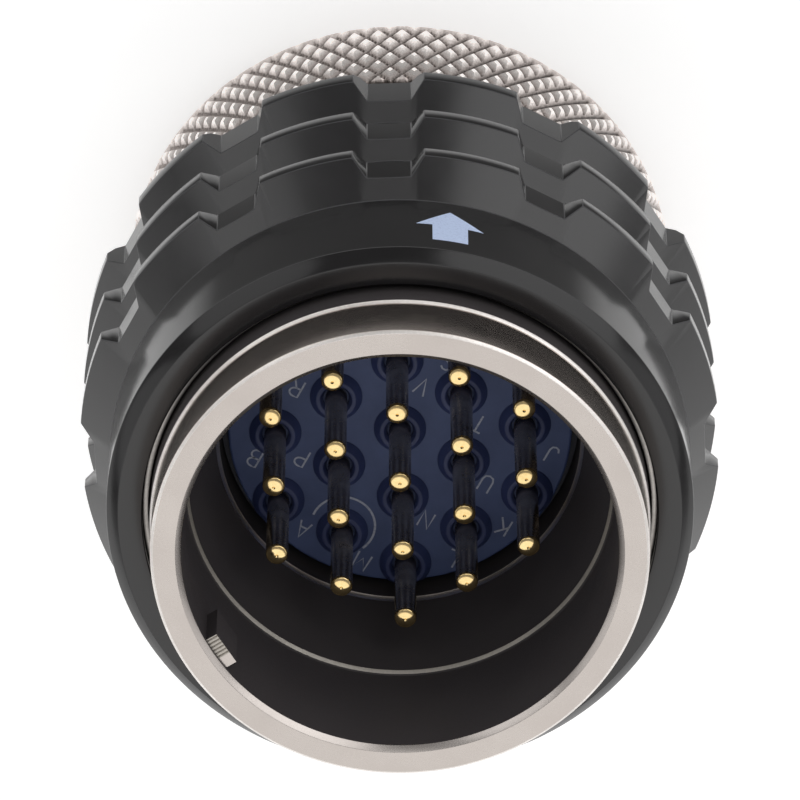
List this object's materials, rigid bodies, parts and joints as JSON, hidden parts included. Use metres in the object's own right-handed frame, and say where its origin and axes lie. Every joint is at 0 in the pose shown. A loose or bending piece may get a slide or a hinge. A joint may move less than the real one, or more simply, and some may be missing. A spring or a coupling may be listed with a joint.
{
  "type": "circular electrical connector",
  "caption": "Round push-pull cable connector with a keyed pin insert, a ribbed sliding coupling ring and a knurled cable clamp nut.",
  "frame": {"origin": "centre of the rear end face, on the surface that the connector stands on", "axes": "+Z along the connector's axis towards the mating end; -Y through the grip slot beside the release arrow"},
  "size_m": [0.029, 0.029, 0.031],
  "materials": {
    "nickel_plate": "nickel plated, satin",
    "black_anodise": "black anodised",
    "bright_steel": "turned",
    "spring_steel": "plain",
    "blue_seal": "matte",
    "dark_insulator": "matte",
    "black_rubber": "matte",
    "gold_plate": "gold plated"
  },
  "bodies": {
    "shell": {"front_shell": "nickel_plate", "snap_ring": "spring_steel", "spring_seat": "spring_steel", "coupling_spring": "spring_steel", "face_seal": "blue_seal", "front_insulator": "dark_insulator", "rear_insulator": "dark_insulator", "insert_retainer": "bright_steel", "wire_grommet": "blue_seal", "gland_washer": "bright_steel", "gland_seal": "black_rubber", "contact_pin_a": "gold_plate", "contact_pin_b": "gold_plate", "contact_pin_c": "gold_plate", "contact_pin_d": "gold_plate", "contact_pin_e": "gold_plate", "contact_pin_f": "gold_plate", "contact_pin_g": "gold_plate", "contact_pin_h": "gold_plate", "contact_pin_j": "gold_plate", "contact_pin_k": "gold_plate", "contact_pin_l": "gold_plate", "contact_pin_m": "gold_plate", "contact_pin_n": "gold_plate", "contact_pin_p": "gold_plate", "contact_pin_r": "gold_plate", "contact_pin_s": "gold_plate", "contact_pin_t": "gold_plate", "contact_pin_u": "gold_plate", "contact_pin_v": "gold_plate"},
    "coupling": {"coupling_ring": "black_anodise", "guide_sleeve": "bright_steel", "ring_end_collar": "black_anodise"},
    "clamp_washer": {"thrust_washer": "bright_steel"},
    "clamp": {"clamp_nut": "nickel_plate"}
  },
  "joints": [
    {"name": "coupling_slide", "type": "slide", "parent": "shell", "child": "coupling", "axis": [0, 0, 1], "range_m": [-0.0024, 0], "stiffness_N_per_m": 400, "springref_m": 0.004, "deforming": ["coupling_spring"]},
    {"name": "clamp_travel", "type": "slide", "parent": "shell", "child": "clamp_washer", "axis": [0, 0, 1], "range_m": [-0.002, 0]},
    {"name": "clamp_turn", "type": "hinge", "parent": "clamp_washer", "child": "clamp", "pos_m": [0, 0, 0.004], "axis": [0, 0, 1], "range_deg": [-720, 0]}
  ],
  "couplings": [
    {"joint": "clamp_turn", "follows": "clamp_travel", "rad_per_m": 6283.2}
  ]
}
